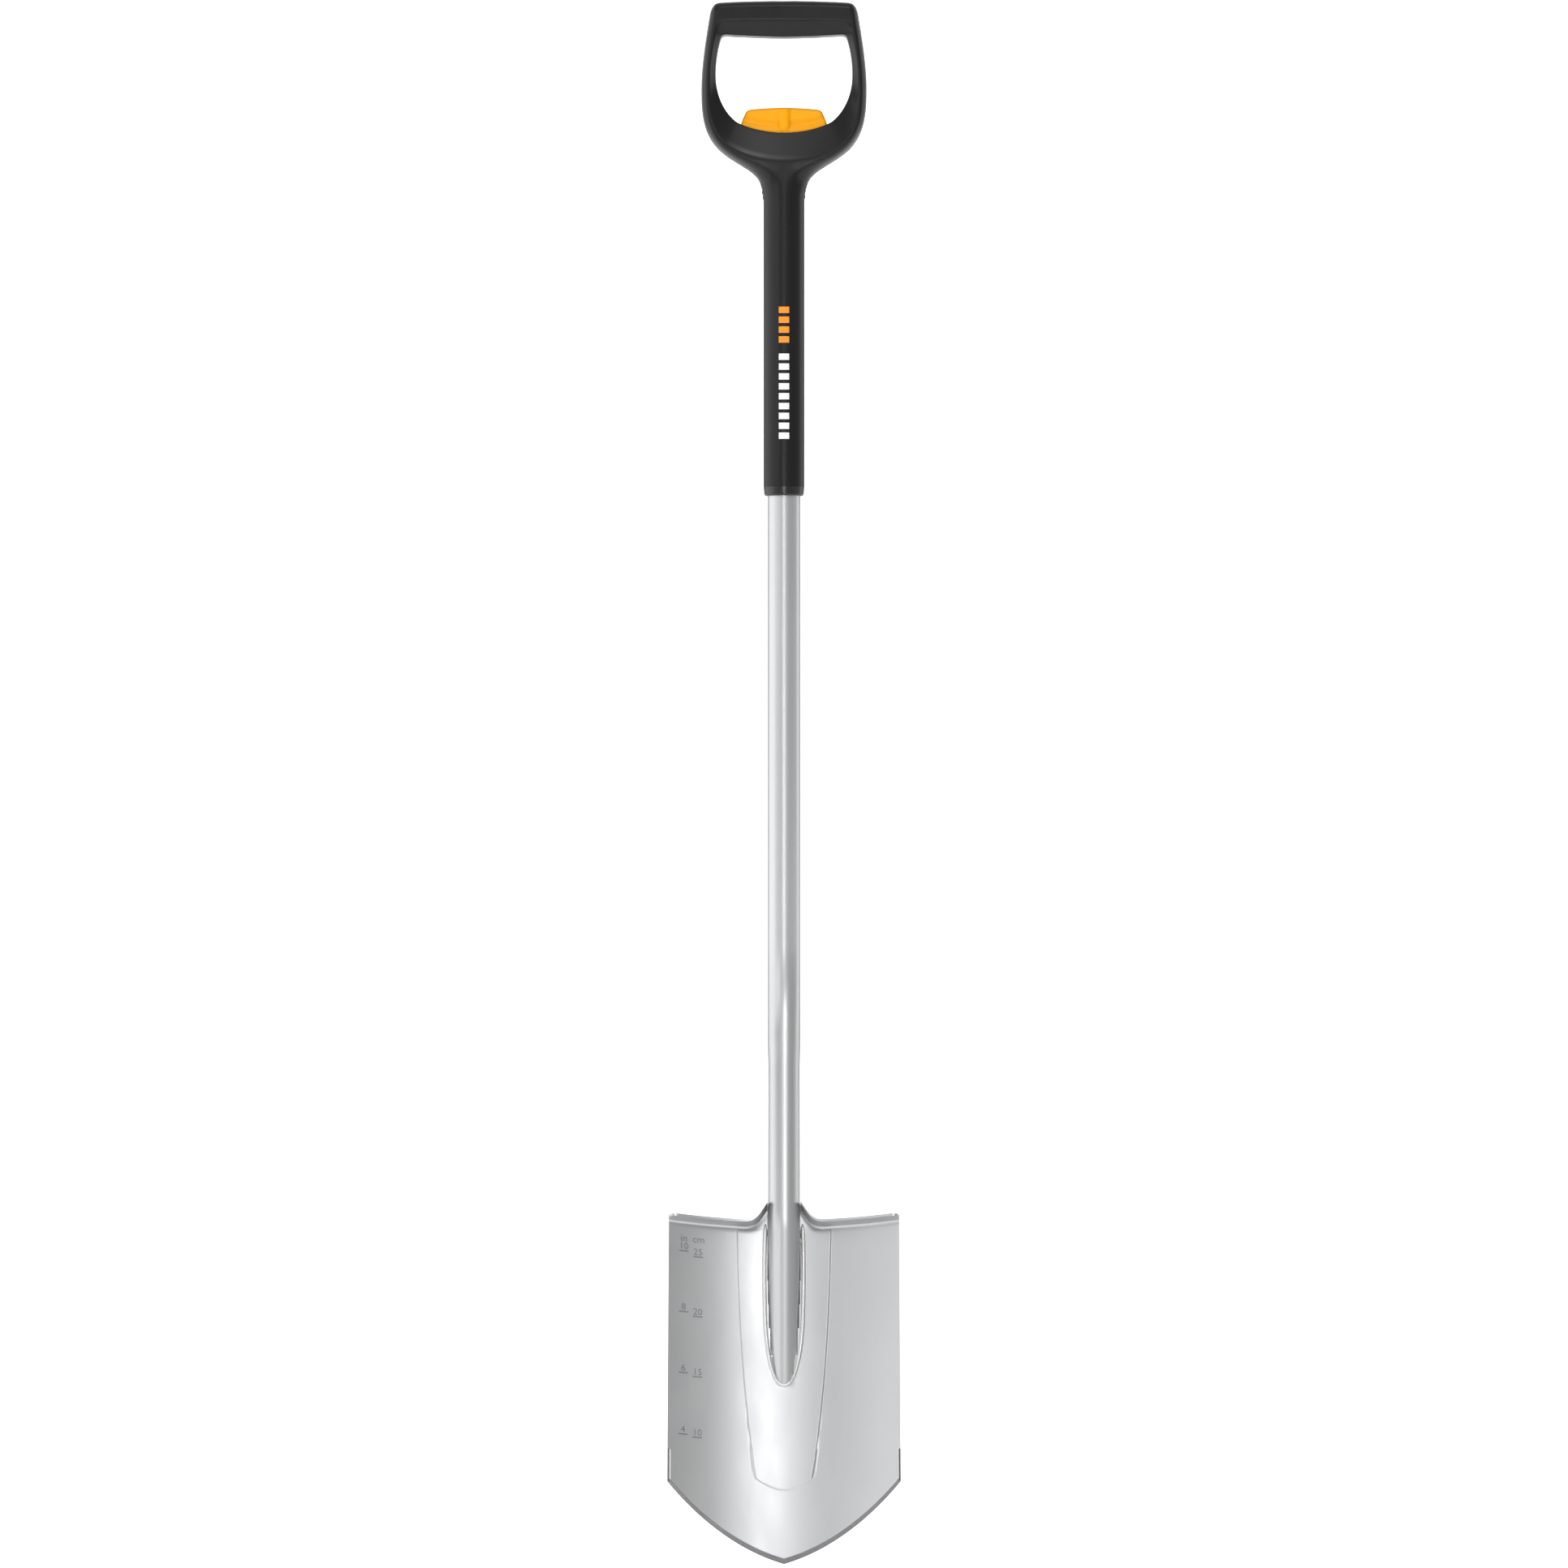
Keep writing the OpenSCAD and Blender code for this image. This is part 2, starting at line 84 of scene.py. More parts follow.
MM = 0.001  # shapes are worked out in millimetres


# ---------------------------------------------------------------- helpers
def curve(*segments, n=14):
    """Points of joined cubic Beziers, each given as four (x, z) points."""
    out = []
    for k, segment in enumerate(segments):
        a, b, c, d = (np.array(p, float) for p in segment)
        t = np.linspace(0, 1, n + 1)[(1 if k else 0) :, None]
        u = 1 - t
        out.append(u**3 * a + 3 * u * u * t * b + 3 * u * t * t * c + t**3 * d)
    return np.vstack(out)


def resample(line, fractions):
    """Points at the given fractions of the line's length."""
    step = np.r_[0, np.cumsum(np.hypot(*np.diff(line, axis=0).T))]
    at = np.asarray(fractions) * step[-1]
    return np.stack([np.interp(at, step, line[:, k]) for k in (0, 1)], axis=-1)


def smooth(a, b, x):
    """0 below a, 1 above b, and an S-curve between."""
    t = np.clip((np.asarray(x, float) - a) / (b - a), 0, 1)
    return t * t * (3 - 2 * t)


def rounded(e):
    """Height of a quarter round at fraction e of its width."""
    return np.sqrt(np.clip(1 - (1 - e) ** 2, 0, 1))


def mesh_piece(name, verts, faces, material, body, nodes=(), slot=None, sharp=None):
    """Mesh object from points in mm; with a body it becomes a piece of the model."""
    me = bpy.data.meshes.new(name)
    me.from_pydata([tuple(v) for v in np.asarray(verts) * MM], [], [tuple(f) for f in faces])
    bm = bmesh.new()
    bm.from_mesh(me)
    bmesh.ops.remove_doubles(bm, verts=bm.verts, dist=1e-6)
    bmesh.ops.dissolve_degenerate(bm, edges=bm.edges, dist=1e-7)
    bmesh.ops.recalc_face_normals(bm, faces=bm.faces)
    bm.to_mesh(me)
    bm.free()
    ob = bpy.data.objects.new(name, me)
    bpy.context.scene.collection.objects.link(ob)
    me.materials.append(material)
    shade(ob, sharp)
    if body:
        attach(ob, body)
    if nodes:
        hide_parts(*nodes)
    return ob


def shade(ob, sharp=None):
    """Smooth shading, with edges of more than sharp degrees kept sharp."""
    me = ob.data
    me.polygons.foreach_set("use_smooth", [True] * len(me.polygons))
    if sharp:
        bm = bmesh.new()
        bm.from_mesh(me)
        for e in bm.edges:
            if len(e.link_faces) == 2 and e.calc_face_angle(0) > math.radians(sharp):
                e.smooth = False
        bm.to_mesh(me)
        bm.free()
    me.update()


def grid_faces(rows, cols, first=0, wrap=False):
    """Quads of a grid of points; wrap joins the last column to the first."""
    out = []
    for r in range(rows - 1):
        a, b = first + r * cols, first + (r + 1) * cols
        for c in range(cols if wrap else cols - 1):
            d = (c + 1) % cols
            out.append((a + c, a + d, b + d, b + c))
    return out


def closed_sheet(front, back):
    """Closed solid between two grids of the same shape (rows, cols, 3)."""
    rows, cols = front.shape[:2]
    n = rows * cols
    verts = np.vstack([front.reshape(-1, 3), back.reshape(-1, 3)])
    faces = grid_faces(rows, cols) + [tuple(reversed(f)) for f in grid_faces(rows, cols, n)]
    rim = list(range(cols))
    rim += [r * cols + cols - 1 for r in range(1, rows)]
    rim += [(rows - 1) * cols + c for c in range(cols - 2, -1, -1)]
    rim += [r * cols for r in range(rows - 2, 0, -1)]
    for a, b in zip(rim, rim[1:] + rim[:1]):
        faces.append((a, a + n, b + n, b))
    return verts, faces


def sweep(points, radii, sides=24, squash=None, up=(0, 0, 1)):
    """Round sweep along points; squash gives the second radius."""
    pts = np.asarray(points, float)
    tang = np.gradient(pts, axis=0)
    tang /= np.linalg.norm(tang, axis=1)[:, None]
    side = np.cross(tang, np.asarray(up, float))
    side /= np.linalg.norm(side, axis=1)[:, None]
    other = np.cross(side, tang)
    ang = np.linspace(0, 2 * math.pi, sides, endpoint=False)
    r1 = np.broadcast_to(radii, len(pts))
    r2 = r1 if squash is None else np.broadcast_to(squash, len(pts))
    first = r1[:, None, None] * np.cos(ang)[None, :, None] * side[:, None]
    second = r2[:, None, None] * np.sin(ang)[None, :, None] * other[:, None]
    faces = grid_faces(len(pts), sides, wrap=True)
    faces.append(tuple(range(sides)))
    faces.append(tuple(range((len(pts) - 1) * sides, len(pts) * sides)))
    return (pts[:, None] + first + second).reshape(-1, 3), faces


def merge(parts):
    """One mesh from several pairs of points and faces."""
    verts, faces, start = [], [], 0
    for v, f in parts:
        verts.append(np.asarray(v))
        faces += [tuple(i + start for i in q) for q in f]
        start += len(v)
    return np.vstack(verts), faces


def apply_modifier(ob, kind, **settings):
    m = ob.modifiers.new("shape", kind)
    for k, value in settings.items():
        setattr(m, k, value)
    bpy.context.view_layer.objects.active = ob
    with bpy.context.temp_override(object=ob, active_object=ob):
        bpy.ops.object.modifier_apply(modifier=m.name)


def cut(ob, cutters):
    """Cuts the cutters out of ob, and deletes them."""
    for c in cutters:
        apply_modifier(ob, "BOOLEAN", operation="DIFFERENCE", solver="EXACT", object=c)
    for c in cutters:
        me = c.data
        bpy.data.objects.remove(c, do_unlink=True)
        bpy.data.meshes.remove(me)


# ---------------------------------------------------------------- materials
def shader(name, color, rough, metal=0.0, **extra):
    m = bpy.data.materials.new(name)
    m.use_nodes = True
    b = m.node_tree.nodes["Principled BSDF"]
    b.inputs["Base Color"].default_value = (*color, 1)
    b.inputs["Roughness"].default_value = rough
    b.inputs["Metallic"].default_value = metal
    for k, v in extra.items():
        b.inputs[k.replace("_", " ")].default_value = v
    return m


def textured(name, color, rough, metal=0.0, tone=0.06, grain=900, bump=0.05, depth=0.0001, rough_var=0.06, **extra):
    """Plastic or coated metal: slow tone change, fine grain in bump and roughness, faint scuffs."""
    m = shader(name, color, rough, metal, **extra)
    t = m.node_tree
    b = t.nodes["Principled BSDF"]
    co = t.nodes.new("ShaderNodeTexCoord")

    def noise(scale, detail=3, stretch=None):
        n = t.nodes.new("ShaderNodeTexNoise")
        n.inputs["Scale"].default_value = scale
        n.inputs["Detail"].default_value = detail
        src = co.outputs["Object"]
        if stretch:
            mp = t.nodes.new("ShaderNodeMapping")
            mp.inputs["Scale"].default_value = stretch
            t.links.new(src, mp.inputs["Vector"])
            src = mp.outputs["Vector"]
        t.links.new(src, n.inputs["Vector"])
        return n

    slow, fine, scuff = noise(18), noise(grain, 2), noise(60, 4, (1, 1, 0.15))
    mix = t.nodes.new("ShaderNodeMixRGB")
    mix.blend_type = "MIX"
    mix.inputs["Color1"].default_value = (*[c * (1 - tone) for c in color], 1)
    mix.inputs["Color2"].default_value = (*[min(1, c * (1 + tone)) for c in color], 1)
    t.links.new(slow.outputs["Fac"], mix.inputs["Fac"])
    t.links.new(mix.outputs["Color"], b.inputs["Base Color"])
    ramp = t.nodes.new("ShaderNodeMapRange")
    ramp.inputs["From Min"].default_value = 0.35
    ramp.inputs["From Max"].default_value = 0.75
    ramp.inputs["To Min"].default_value = rough - rough_var
    ramp.inputs["To Max"].default_value = rough + rough_var
    t.links.new(scuff.outputs["Fac"], ramp.inputs["Value"])
    t.links.new(ramp.outputs["Result"], b.inputs["Roughness"])
    bp = t.nodes.new("ShaderNodeBump")
    bp.inputs["Strength"].default_value = bump
    bp.inputs["Distance"].default_value = depth
    t.links.new(fine.outputs["Fac"], bp.inputs["Height"])
    t.links.new(bp.outputs["Normal"], b.inputs["Normal"])
    return m


BLACK, SILVER = (0.009, 0.009, 0.0095), (0.5, 0.505, 0.51)
MAT = {
    "grip_plastic": textured("black moulded", BLACK, 0.34, grain=1400, bump=0.2, Specular_IOR_Level=0.25),
    "collar_plastic": textured("black collar", BLACK, 0.3, grain=1400, bump=0.12),
    "button_plastic": textured(
        "orange moulded", (0.93, 0.39, 0.0), 0.4, grain=1200, bump=0.08, tone=0.03, Specular_IOR_Level=0.2
    ),
    "shaft_steel": textured("silver coat", SILVER, 0.38, 0.8, grain=2600, bump=0.04, tone=0.02, rough_var=0.015),
    "blade_steel": textured(
        "silver coat blade", SILVER, 0.4, 0.8, grain=2200, bump=0.05, tone=0.03, rough_var=0.025
    ),
    "weld_steel": textured("silver weld", (0.6, 0.6, 0.6), 0.34, 0.8, grain=700, bump=0.5, depth=0.0003),
    # the ground edge is a real bevel, but its dark grey colour is painted shade that gives the thin dark line along
    # the blade's lower edges
    "edge_steel": textured("ground edge", (0.16, 0.16, 0.165), 0.4, 0.9, grain=3000, bump=0.2),
    "inner_steel": textured("drawn steel", (0.55, 0.56, 0.57), 0.32, 1.0, grain=1800, bump=0.1),
    "fastener_steel": textured("zinc plate", (0.5, 0.51, 0.53), 0.38, 1.0, grain=1500, bump=0.2),
    "spring_steel": textured("spring steel", (0.6, 0.6, 0.61), 0.25, 1.0, grain=1500, bump=0.1),
    "bush_plastic": textured("bearing plastic", (0.72, 0.71, 0.66), 0.45, grain=1500, bump=0.15),
    "inner_plastic": textured("dark plastic", (0.06, 0.06, 0.065), 0.4, grain=1300, bump=0.2),
    "mark_white": textured("printed white", (0.85, 0.85, 0.84), 0.5, grain=1500, bump=0.1, tone=0.03),
    "mark_orange": textured("printed orange", (0.95, 0.3, 0.01), 0.45, grain=1500, bump=0.1, tone=0.03),
    "scale_grey": textured("scale mark", (0.26, 0.265, 0.27), 0.42, 0.7, grain=1800, bump=0.2),
}
slot_of = {s["node"]: s["material_slot"] for s in frame["record"]["subparts"]}
for o in bpy.data.objects:
    if o.type == "MESH" and o.name in slot_of:
        o.data.materials.clear()
        o.data.materials.append(MAT[slot_of[o.name]])

# ---------------------------------------------------------------- D grip, front and rear halves
# right-hand lines from the top middle: hand opening, crease round its flare, outline down to the neck's end
OPEN = curve(
    ((0, 0), (16, 0.1), (33, 1), (46, 1.8)),
    ((46, 1.8), (50, 2), (50.8, 0.6), (51.4, -1.5)),
    ((51.4, -1.5), (54, -10), (55.5, -20), (55.5, -30)),
    ((55.5, -30), (55.5, -47), (49, -61), (38.4, -69.1)),
    ((38.4, -69.1), (28, -74.6), (14, -77.6), (0, -77.6)),
)
CREASE = curve(
    ((0, 12.9), (18, 12.9), (36, 12.9), (48.5, 12.2)),
    ((48.5, 12.2), (54, 11.6), (55.4, 8), (55.9, 3.5)),
    ((55.9, 3.5), (58, -10), (60.7, -22), (60.8, -38)),
    ((60.8, -38), (60.9, -62), (57.5, -80), (43, -88.6)),
    ((43, -88.6), (30, -96.2), (16, -99.8), (0, -99.8)),
)
NECK_R, NECK_END = 16.75, -136.0
OUTER = curve(
    ((0, 29.7), (20, 29.7), (40, 29.2), (53, 28.3)),
    ((53, 28.3), (58, 27.9), (59.8, 22.5), (60.6, 17.3)),
    ((60.6, 17.3), (62.6, 4), (67.2, -20), (67.2, -43)),
    ((67.2, -43), (67.2, -65), (65, -81), (50.4, -93.4)),
    ((50.4, -93.4), (36, -105), (22, -108.5), (19, -119.8)),
    ((19, -119.8), (17.9, -124.5), (NECK_R, -127), (NECK_R, -132)),
    ((NECK_R, -132), (NECK_R, -133), (NECK_R, -135), (NECK_R, NECK_END)),
    n=18,
)
GRIP_D, LAND_D, EDGE_R = 16.9, 9, 5.5  # half depths of the D and of its straight land, rounding of its edge
SLEEVE_TOP, SLEEVE_END = -131.5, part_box("grip_front")[0][2] / MM


def outline_distance(points):
    """Distance of each point from the outline's two sides."""
    spans = [np.linspace(a, b, 6, endpoint=False) for a, b in zip(OUTER[:-1], OUTER[1:])]
    right = np.vstack(spans + [OUTER[-1:]])
    fine = np.vstack([right, right * [-1, 1]])
    flat = points.reshape(-1, 2)
    near = np.full(len(flat), np.inf)
    for k in range(0, len(fine), 200):
        d = flat[:, None] - fine[None, k : k + 200]
        near = np.minimum(near, np.sqrt((d**2).sum(-1)).min(1))
    return near.reshape(points.shape[:2])


def grip_half(side):
    """Half shell of the D, and its sleeve; side is -1 for the front, 1 for the rear."""
    # matched stations on the three lines; the outline's last ones span the neck's floor
    stations = 132
    u = np.linspace(0, 1, stations)
    on_side = int(stations * 0.86)
    theta = np.linspace(math.pi / 2, 0, stations - on_side + 1)[1:]
    floor = np.stack([NECK_R * np.sin(theta), np.full(len(theta), NECK_END)], axis=-1)
    outline = np.vstack([resample(OUTER, np.linspace(0, 1, on_side)), floor])
    lines = (resample(OPEN, u), resample(CREASE, u), outline)
    o, c, s = (np.vstack([a, a[-2:0:-1] * [-1, 1]]) for a in lines)
    n = len(o)
    on_outline = s[:, 1] > NECK_END + 0.1

    # rows from the crease to the outline, closer together near the outline
    v = np.r_[np.linspace(0, 0.5, 10, endpoint=False), 0.5 + 0.5 * (1 - (1 - np.linspace(0, 1, 16)) ** 1.9)]
    xz = np.array([c * (1 - t) + s * t for t in v])
    # nothing reaches outside the outline where the neck curves in
    waist = np.interp(-xz[..., 1], -OUTER[:, 1], OUTER[:, 0])
    xz[..., 0] = np.clip(xz[..., 0], -waist, waist)
    near = outline_distance(xz)
    near[-1] = np.where(on_outline, 0, near[-1])
    x, z = xz[..., 0], xz[..., 1]
    blend = smooth(0, 1, (-96 - z) / 28)
    reach = EDGE_R + (NECK_R - EDGE_R) * blend
    full = GRIP_D + (NECK_R - GRIP_D) * blend
    depth = full * rounded(np.clip(near / reach, 0, 1))
    # the neck turns from the flat plate into a round
    round_depth = full * np.sqrt(np.clip(1 - (x / np.maximum(waist, 1)) ** 2, 0, None))
    depth = depth + (round_depth - depth) * smooth(0, 1, (-100 - z) / 24)

    def ring(points, y):
        return np.stack([points[:, 0], np.broadcast_to(y, n), points[:, 1]], -1)

    rows = [ring(o, y) for y in (0, 3, 6, LAND_D - 0.4)]
    rows.append(ring(o * 0.985 + c * 0.015, LAND_D + 0.06))
    rows += [ring(o * (1 - t) + c * t, LAND_D + (depth[0] - LAND_D) * t) for t in np.linspace(0, 1, 9)[1:-1]]
    # the first row beyond the flare is pulled in a little, which softens the crease
    rows.append(ring(xz[0], depth[0] - 0.25))
    rows += [ring(xz[r], depth[r]) for r in range(1, len(v))]
    shell = np.array(rows)
    shell[-1, :, 1] = np.where(on_outline, 0, shell[-1, :, 1])
    shell = np.concatenate([shell, (shell[-1] * [1, 0, 1])[None]])
    shell[..., 1] *= side
    faces = grid_faces(len(shell), n, wrap=True)
    base = (len(shell) - 1) * n
    for a in range(n):
        b = (a + 1) % n
        faces.append((a, b, base + b, base + a))

    def half_ring(r):
        return np.array(
            [
                [[r * math.cos(a), side * r * math.sin(a), z] for a in np.linspace(0, math.pi, 40)]
                for z in (SLEEVE_TOP, -200, -270, SLEEVE_END)
            ]
        )

    sleeve_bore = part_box("liner_tube")[1][0] / MM + 0.02
    return (shell.reshape(-1, 3), faces), closed_sheet(half_ring(NECK_R), half_ring(sleeve_bore))


def box_cutter(name, low, high):
    (x0, y0, z0), (x1, y1, z1) = low, high
    vs = [(x, y, z) for x in (x0, x1) for y in (y0, y1) for z in (z0, z1)]
    fs = [(0, 1, 3, 2), (4, 6, 7, 5), (0, 4, 5, 1), (2, 3, 7, 6), (0, 2, 6, 4), (1, 5, 7, 3)]
    return mesh_piece(name, vs, fs, MAT["grip_plastic"], None)


def round_cutter(name, r, z0, z1):
    v, f = sweep([(0, 0, z0), (0, 0, z1)], r, 48, up=(0, 1, 0))
    return mesh_piece(name, v, f, MAT["grip_plastic"], None)


def crest_pocket():
    """Room inside the shells for the button, the plug with its ring, the stem and the liner."""
    return [
        box_cutter("cut_pocket", (-35.5, -7.2, -94), (35.5, 7.2, -60)),
        round_cutter("cut_notch_round", 5.6, -85, -60),
        box_cutter("cut_notch", (-9.4, -8.2, -84), (9.4, 8.2, -70)),
        round_cutter("cut_hub", 9.1, -113, -90),
        round_cutter("cut_ring", 11.1, -107.2, -102.8),
        round_cutter("cut_stem", 6.35, -120, -100),
        round_cutter("cut_liner", 15.02, -137, -115),
    ]


for side, name, node in ((-1, "grip_shell_front", "grip_front"), (1, "grip_shell_rear", "grip_rear")):
    (v, f), (v2, f2) = grip_half(side)
    plastic = MAT["grip_plastic"]
    ob = mesh_piece(name, v, f, plastic, "handle", (node,), "grip_plastic", sharp=38)
    apply_modifier(ob, "REMESH", mode="VOXEL", voxel_size=0.0006, adaptivity=0.0)
    apply_modifier(ob, "SMOOTH", factor=0.5, iterations=3)
    cut(ob, crest_pocket())
    shade(ob, 38)
    sleeve = name.replace("shell", "sleeve")
    mesh_piece(sleeve, v2, f2, plastic, "handle", (node,), "grip_plastic", sharp=50)

# ---------------------------------------------------------------- button
SKIRT, WAIST_Z = -84.0, -72.2  # lower end of the button, lower end of its rib's straight part


def button_mesh():
    """Button with a rounded edge, a waist above its lip and a half-round rib, the same on both faces."""
    top = curve(
        ((0, -56.8), (9, -56.8), (18, -57.3), (26.5, -58.2)),
        ((26.5, -58.2), (29, -58.5), (30.6, -59.3), (31.3, -61)),
        n=16,
    )
    side_z, side_x = [SKIRT, -71, -67, -63.4, -61], [35.2, 35.2, 33.9, 32.3, 31.3]
    bunch = math.pi / 2 * 0.86
    spread = np.sin(np.linspace(-1, 1, 97) * bunch) / math.sin(bunch)
    t = np.r_[np.linspace(0, 0.44, 8, endpoint=False), 0.44 + 0.56 * (1 - (1 - np.linspace(0, 1, 34)) ** 1.6)]
    x = spread[None] * np.interp(SKIRT + 23 * t, side_z, side_x)[:, None]
    z_top = np.interp(np.abs(x), top[:, 0], top[:, 1])
    z = SKIRT + (z_top - SKIRT) * t[:, None]
    edge_top = rounded(np.clip((z_top - z) / 2.6, 0, 1))
    edge_side = rounded(np.clip((np.interp(z, side_z, side_x) - np.abs(x)) / 2.2, 0, 1))
    crest = -77.2 + 5.9 * (np.abs(x) / 35.2) ** 2.2
    waist = np.exp(-(((z - (crest + 6.2)) / 2.6) ** 2))
    lip = smooth(0, 1, (crest + 4.6 - z) / 2.4)
    depth = (5.9 - 1.5 * waist + 0.9 * lip) * edge_top * (0.35 + 0.65 * edge_side)
    # half-round rib with a rounded lower end
    r = np.where(z > WAIST_Z, np.abs(x), np.hypot(x, z - WAIST_Z)) / 5.0
    rib = np.sqrt(np.clip(1 - r**2, 0, 1)) * 2.7
    depth = np.where(rib > 0, np.maximum(depth, (5.4 + rib) * edge_top**0.6), depth)
    return closed_sheet(np.stack([x, -depth, z], -1), np.stack([x, depth, z], -1))


v, f = button_mesh()
button = mesh_piece("release_button", v, f, MAT["button_plastic"], "release", ("button",), "button_plastic", sharp=60)
cut(button, [round_cutter("cut_spring", 5.5, -90, -76.4), round_cutter("cut_rod", 3.92, -90, -63)])
shade(button, 50)

# ---------------------------------------------------------------- shaft tube with its bend and pressed nose
TUBE_R, TUBE_LOW_R, WALL = 13.5, 12.9, 1.8
TUBE_TOP, BEND_TOP = -322.0, -734.1
BEND_R, BEND = 186.0, math.radians(26)
ELBOW = np.array([0, -85.6, -952.3])
NOSE_TIP = np.array([0, -134.7, -1083.8])
NOSE_LEN = 150
SEAT, NOSE = math.radians(25.8), math.radians(15.2)


def tube_path():
    """Centre line, radius and tilt, from the top of the tube to its nose."""
    stops = [((0, 0, z), TUBE_R, 0) for z in np.linspace(TUBE_TOP, BEND_TOP, 14)]
    for a in np.linspace(0, BEND, 28)[1:]:
        stops.append(((0, -BEND_R * (1 - math.cos(a)), BEND_TOP - BEND_R * math.sin(a)), TUBE_R, a))
    end = np.array(stops[-1][0])
    length = np.linalg.norm(ELBOW - end)
    for t in np.linspace(0, 1, 24)[1:]:
        r = TUBE_R - (TUBE_R - TUBE_LOW_R) * float(smooth(0, 20, t * length))
        stops.append((tuple(end + (ELBOW - end) * t), r, BEND))
    for t in np.linspace(0, 1, 60)[1:]:
        a = BEND + (NOSE - BEND) * float(smooth(0, 0.12, t))
        p = np.array(stops[-1][0]) + (NOSE_LEN / 59) * np.array([0, -math.sin(a), -math.cos(a)])
        stops.append((tuple(p), TUBE_LOW_R, a))
    return tuple(np.array(part) for part in zip(*stops))


def tube_mesh():
    """Tube with a bore, its lower end pressed onto the seat plane."""
    sides = 72
    th = np.linspace(0, 2 * math.pi, sides, endpoint=False)
    seat_normal = np.array([0, math.cos(SEAT), -math.sin(SEAT)])

    def rings(inset, lift):
        out = []
        for p, r, a in zip(*tube_path()):
            n = np.array([0, math.cos(a), -math.sin(a)])
            out.append(p + (r - inset) * (np.cos(th)[:, None] * np.array([1, 0, 0]) + np.sin(th)[:, None] * n))
        g = np.array(out)
        d = (g - NOSE_TIP) @ seat_normal + lift
        push = np.where((g[..., 2] < -940) & (d > 0), d, 0)
        return g - push[..., None] * seat_normal

    outer, inner = rings(0, 0.0), rings(WALL, 0.6)
    nn = len(outer) * sides
    faces = grid_faces(len(outer), sides, wrap=True)
    faces += [tuple(reversed(q)) for q in grid_faces(len(inner), sides, nn, wrap=True)]
    b = (len(outer) - 1) * sides
    for c in range(sides):
        d = (c + 1) % sides
        faces.append((c, d, nn + d, nn + c))
        faces.append((b + c, b + d, nn + b + d, nn + b + c))
    return np.vstack([outer.reshape(-1, 3), inner.reshape(-1, 3)]), faces


v, f = tube_mesh()
tube = mesh_piece("bright_tube", v, f, MAT["shaft_steel"], "shaft", ("shaft_tube",), "shaft_steel", sharp=45)
holes = []
for k in range(5):
    z = -344 - 50 * k
    hv, hf = sweep([(0, 6, z), (0, 20, z)], 4.2, 32)
    holes.append(mesh_piece(f"cut_hole{k}", hv, hf, MAT["shaft_steel"], None))
holes.append(box_cutter("cut_key", (-2.2, 12.6, -573), (2.2, 20, -300)))
cut(tube, holes)
shade(tube, 45)

# ---------------------------------------------------------------- blade
# in the blade's own frame: x across, y to the rear, and l along the blade, which is 0 at the fold of the tread
TILT = math.radians(22)
FOLD = np.array([0, -85.4, -961.6])
R_DISH, HALF_W, LENGTH = 226.0, 92.0, 278.4
PANEL = curve(((37.6, 0), (36.2, -80), (32.5, -140), (22.4, -209)), n=40)
PANEL_END, PANEL_CORNER = -209, 23
EDGE = curve(((92, -216.5), (67, -245), (35, -268), (0, -278.4)), n=60)
EDGE_W, EDGE_TOP = 3.6, -190  # width of the ground edge, and where it ends on the sides
EAR = curve(((31, 0), (22, 0.4), (20, 6), (12.4, 18)), n=30)
TREAD_D, TREAD_CORNER, FOLD_R = 13.0, 8.0, 2.4
SHEET, PANEL_H = 2.0, 1.2
SEAT_R = 13.0  # radius of the tube's seat in the blade
MID = -150  # where the rows begin to follow the panel's lower edge


def to_world(g):
    out = np.empty_like(g)
    out[..., 0] = g[..., 0]
    out[..., 1] = FOLD[1] + g[..., 1] * math.cos(TILT) + g[..., 2] * math.sin(TILT)
    out[..., 2] = FOLD[2] - g[..., 1] * math.sin(TILT) + g[..., 2] * math.cos(TILT)
    return out


def to_blade(p):
    y, z = p[..., 1] - FOLD[1], p[..., 2] - FOLD[2]
    across = y * math.cos(TILT) - z * math.sin(TILT)
    return np.stack([p[..., 0], across, y * math.sin(TILT) + z * math.cos(TILT)], -1)


def sag(x):
    return R_DISH - np.sqrt(R_DISH**2 - np.asarray(x, float) ** 2)


def panel_w(l):
    return np.interp(-np.asarray(l), -PANEL[:, 1], PANEL[:, 0])


def panel_low(x):
    return -218.7 + 9.7 * np.clip(np.abs(x) / 23.0, 0, 1) ** 1.7


def edge_low(x):
    return np.interp(-np.abs(x), -EDGE[:, 0], EDGE[:, 1])


def edge_distance(x, l):
    """Distance from the ground edge; the sides count more, so that it is narrower there."""
    side = np.where(l < EDGE_TOP, 1.8 * (HALF_W - np.abs(x)), 99)
    return np.minimum(l - edge_low(x), side)


def ear_top(x):
    return np.interp(np.abs(x), EAR[::-1, 0], EAR[::-1, 1], left=18, right=0)


axis_b = to_blade(tube_path()[0])


def tube_half(x, l):
    """The tube's centre line at l, and half its depth at x, in the blade's y."""
    return np.interp(-l, -axis_b[:, 2], axis_b[:, 1]), np.sqrt(np.clip(SEAT_R**2 - x**2, 0, None))


def channel(x, l):
    """How far back the face goes to make room for the tube: blade y, or a very low value."""
    middle, half = tube_half(x, l)
    y = np.where(half > 0, middle + half, -99)
    tip = to_blade(NOSE_TIP)
    seat = tip[1] + (l - tip[2]) * math.tan(SEAT - TILT)
    return np.where(l < tip[2] + 0.4, -99, np.minimum(y, seat))


def face_y(x, l):
    """Front face: the dish, with the middle panel raised on it."""
    step = 1.2
    a = smooth(0, 1, (panel_w(l) - np.abs(x)) / step + 0.5)
    b = smooth(0, 1, (l - panel_low(x)) / step + 0.5)
    return -sag(x) - PANEL_H * a * b


